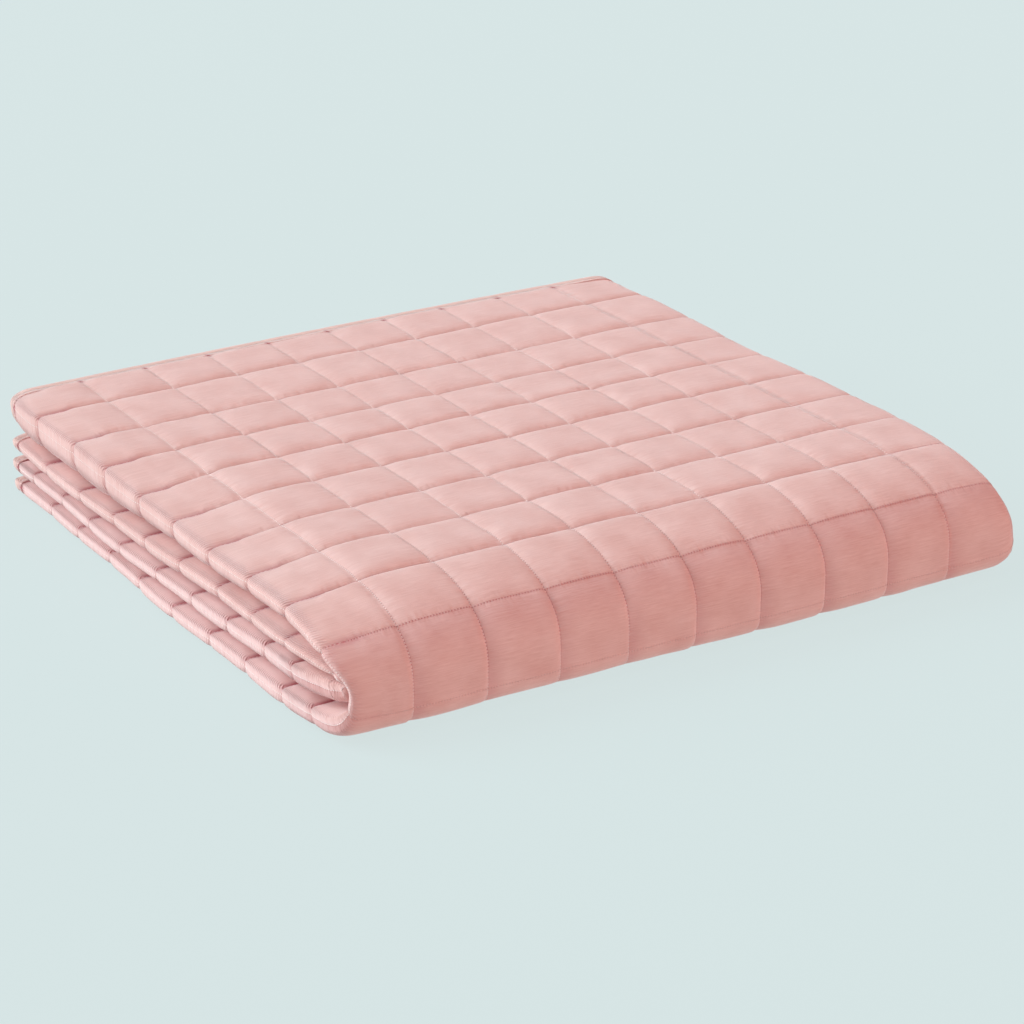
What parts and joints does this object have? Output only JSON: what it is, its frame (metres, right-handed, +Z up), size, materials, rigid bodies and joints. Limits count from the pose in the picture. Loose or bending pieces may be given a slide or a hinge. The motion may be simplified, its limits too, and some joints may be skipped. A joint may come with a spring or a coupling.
{
  "type": "folded quilted coverlet",
  "caption": "Quilted cotton coverlet with bound edges, folded to a flat stack with its fold at the front.",
  "frame": {"origin": "under the middle of the folded coverlet's bounding box, on the surface that it lies on", "axes": "+X along the front fold, to the right; +Y from the front fold to the bound ends at the back; +Z up"},
  "size_m": [0.6438, 0.607, 0.1001],
  "materials": {
    "quilted_cotton": "matt washed cotton with a fine slub, machine quilted in squares",
    "binding_cotton": "matt washed cotton strip, sewn round the edge"
  },
  "bodies": {
    "root": {"quilted_cloth": "quilted_cotton", "end_binding_upper": "binding_cotton", "end_binding_lower": "binding_cotton", "side_binding_outer": "binding_cotton", "side_binding_inner": "binding_cotton"}
  },
  "joints": []
}
